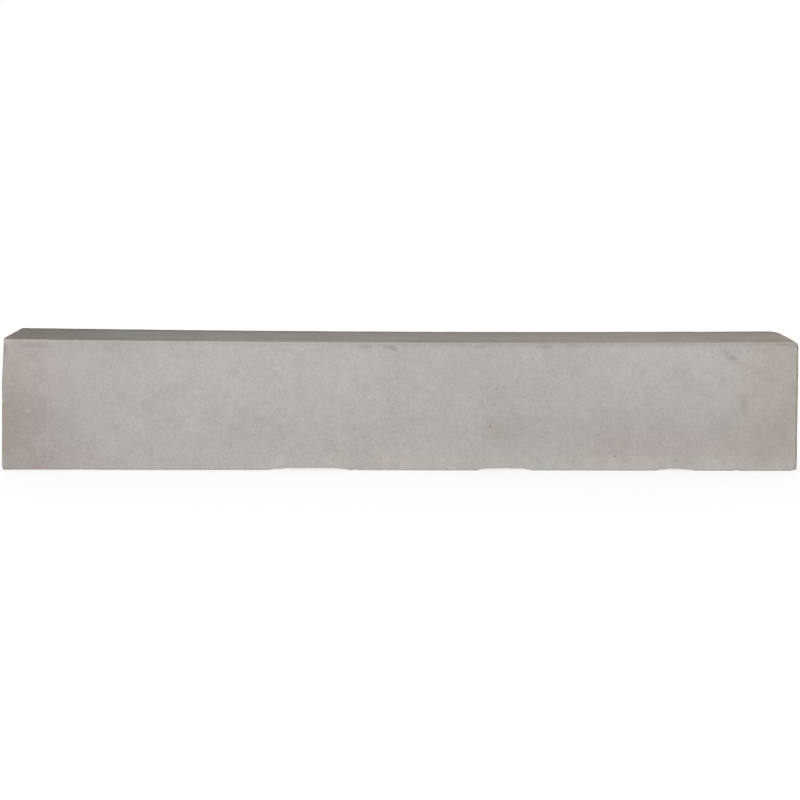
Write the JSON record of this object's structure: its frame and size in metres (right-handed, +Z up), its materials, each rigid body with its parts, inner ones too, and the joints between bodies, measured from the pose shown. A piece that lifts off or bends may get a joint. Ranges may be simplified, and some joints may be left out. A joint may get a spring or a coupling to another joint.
{
  "type": "edging stone",
  "caption": "Long plain precast concrete edging unit with a flat top, set on edge to hold the border of a path, drive or planting bed.",
  "frame": {"origin": "middle of the bed face, which is the narrow face that the unit stands on", "axes": "+X along the unit, +Y through its thickness from the front face to the back face, +Z up"},
  "size_m": [0.914, 0.05, 0.15],
  "materials": {
    "concrete": "dry, fine-textured pressed concrete, matt"
  },
  "bodies": {
    "root": {"edging_unit": "concrete"}
  },
  "joints": []
}
